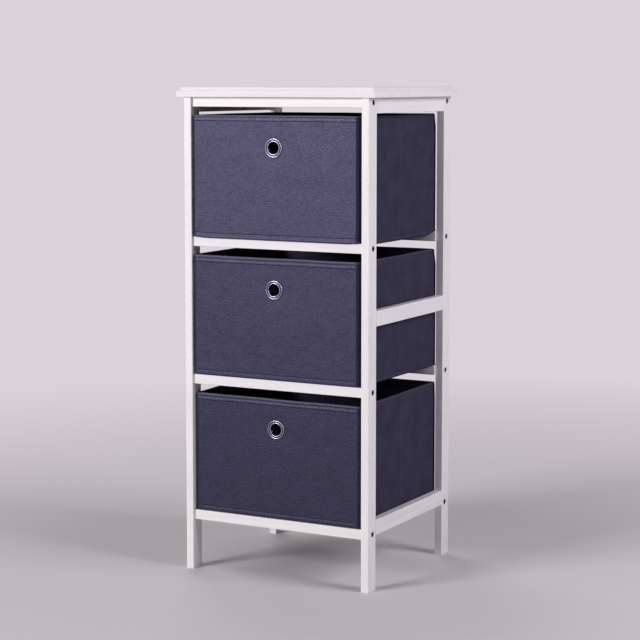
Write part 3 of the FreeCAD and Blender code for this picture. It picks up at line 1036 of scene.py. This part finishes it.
def wrap_insert(level):
    """The stiff base insert in its sewn cloth."""
    low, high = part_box(f"{level}_box_base_insert")
    width, depth = high.x - low.x, high.y - low.y
    seam = insert_seam_inset
    bm = block(low, high)
    round_edges(bm, upright_edges(bm), insert_corner_radius, 4)
    round_edges(bm, edges_at(bm, high.z) + edges_at(bm, low.z), insert_edge_radius, 3)
    fine = (seam - insert_seam_cut, seam, seam + insert_seam_cut)
    slice_up(bm, low, 0, cuts(0, width, 2 * mesh_step, both_ends(fine, width)))
    slice_up(bm, low, 1, cuts(0, depth, 2 * mesh_step, both_ends(fine, depth)))
    seed = LEVELS.index(level) + insert_seed

    def sink(x, y):
        """How far the cloth lies below the top of the insert."""
        edge = min(x - low.x, high.x - x, y - low.y, high.y - y)
        spot = Vector((x * insert_waves, y * insert_waves, seed))
        soft = insert_ripple * (0.5 + noise.noise(spot))
        soft *= ease(insert_ripple_start, insert_ripple_end, edge)
        return insert_seam_sink * hump(seam, insert_seam_half_width, edge) + soft

    for vert in bm.verts:
        if vert.co.z > high.z - 0.1 * MM:
            vert.co.z -= sink(vert.co.x, vert.co.y)
    bmesh.ops.recalc_face_normals(bm, faces=bm.faces)
    bm.normal_update()
    project_cloth(bm)
    panel = mesh_object(f"{level}_box_base_panel", bm, plain)
    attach(panel, f"{level}_base_insert")
    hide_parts(f"{level}_box_base_insert")

    sewing = bmesh.new()
    for axis, length in ((0, width), (1, depth)):
        for line in (low[1 - axis] + seam, high[1 - axis] - seam):
            row = stitch_row(length - 2 * seam, **foot_stitch)
            for vert in row.verts:
                reach = low[axis] + seam + vert.co.x
                x, y = laid_along(axis, reach, line + vert.co.z)
                sunk = sink(*laid_along(axis, reach, line))
                vert.co = Vector((x, y, high.z - sunk + thread_raise - vert.co.y))
            gather(sewing, row)
    stitches = mesh_object(f"{level}_base_panel_stitches", sewing, plain_thread)
    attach(stitches, f"{level}_base_insert")


pattern_low, pattern_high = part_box("top_box_cover")
pattern = mesh_object("cover pattern", plain_cover(pattern_low, pattern_high), plain)
cut_eyelet_hole(pattern, pattern_low, pattern_high)
for level in LEVELS:
    box = Box(level)
    lay_cloth(box, pattern.data, pattern_low)
    sew(box)
    wrap_insert(level)
bpy.data.objects.remove(pattern)

# Floor, backdrop and light
studio_colour = (0.706, 0.647, 0.695, 1)
floor_radius = 30
fade_start = 0.55
fade_end = 2.4


def studio_floor():
    """A plain pale floor that fades into the backdrop away from the object."""
    bm = bmesh.new()
    bmesh.ops.create_circle(bm, cap_ends=True, segments=96, radius=floor_radius)
    inputs = {"Roughness": 0.9, "Specular IOR Level": 0.2}
    material, tree, shader = new_material("studio floor", inputs)
    place = object_place(tree)
    grain = stretched_noise(tree, place, (90, 90, 90), 3.0)
    colour = blend(tree, grain, (0.60, 0.575, 0.60, 1), (0.64, 0.615, 0.64, 1))
    tree.links.new(colour, shader.inputs["Base Color"])
    far = spread(tree, vector_length(tree, place), fade_start, fade_end)
    path = add_node(tree, "ShaderNodeLightPath").outputs
    seen = calc(tree, "MAXIMUM", path["Is Camera Ray"], path["Is Glossy Ray"])
    inputs = {"Color": studio_colour, "Strength": 1.0}
    glow = add_node(tree, "ShaderNodeEmission", None, inputs).outputs[0]
    inputs = {0: calc(tree, "MULTIPLY", far, seen), 1: shader.outputs[0], 2: glow}
    mixed = add_node(tree, "ShaderNodeMixShader", None, inputs).outputs[0]
    tree.links.new(mixed, tree.nodes["Material Output"].inputs["Surface"])
    floor = mesh_object("studio_floor", bm, material, smooth=False)


def studio_world(strength):
    """A soft even dome of light, seen as the plain backdrop."""
    world = bpy.data.worlds.new("studio")
    bpy.context.scene.world = world
    world.use_nodes = True
    tree = world.node_tree
    tree.nodes.clear()
    path = add_node(tree, "ShaderNodeLightPath").outputs
    direct = calc(tree, "MAXIMUM", path["Is Camera Ray"], path["Is Glossy Ray"])
    seen = calc(tree, "MAXIMUM", direct, path["Is Transmission Ray"])
    inputs = {"Color": (0.97, 0.96, 1.0, 1), "Strength": strength}
    dome = add_node(tree, "ShaderNodeBackground", None, inputs).outputs[0]
    inputs = {"Color": studio_colour, "Strength": 1.0}
    backdrop = add_node(tree, "ShaderNodeBackground", None, inputs).outputs[0]
    inputs = {0: seen, 1: dome, 2: backdrop}
    mixed = add_node(tree, "ShaderNodeMixShader", None, inputs).outputs[0]
    add_node(tree, "ShaderNodeOutputWorld", None, {"Surface": mixed})


def soft_light(name, place, target, size, power, colour):
    """A square softbox that looks at a point."""
    data = bpy.data.lights.new(name, "AREA")
    data.shape = "SQUARE"
    data.size = size
    data.energy = power
    data.color = colour
    light = bpy.data.objects.new(name, data)
    light.location = place
    light.rotation_euler = (Vector(target) - Vector(place)).to_track_quat("-Z", "Y").to_euler()
    bpy.context.scene.collection.objects.link(light)


studio_floor()
studio_world(strength=0.11)
soft_light("key", (-2.85, -5.85, 2.55), (0, 0, 0.6),
           size=2.4, power=368, colour=(1.0, 0.985, 0.97))
soft_light("right fill", (3.0, -0.15, 2.1), (0, 0, 0.5),
           size=1.4, power=67, colour=(0.98, 0.97, 1.0))
soft_light("rear fill", (-2.5, 2.4, 1.9), (0, 0, 0.5),
           size=2.2, power=46, colour=(0.99, 0.98, 1.0))

# Camera, at the place that was solved on the photograph's frame corners
lens = bpy.data.cameras.new("camera")
lens.lens = 107.722
lens.sensor_width = 36
lens.shift_y = -0.08258
camera = bpy.data.objects.new("camera", lens)
camera.location = (1.7074, -3.1570, 0.9137)
camera.rotation_euler = (math.radians(84.4), 0, math.radians(28.3923))
bpy.context.scene.collection.objects.link(camera)
bpy.context.scene.camera = camera
bpy.context.scene.view_settings.view_transform = "Standard"
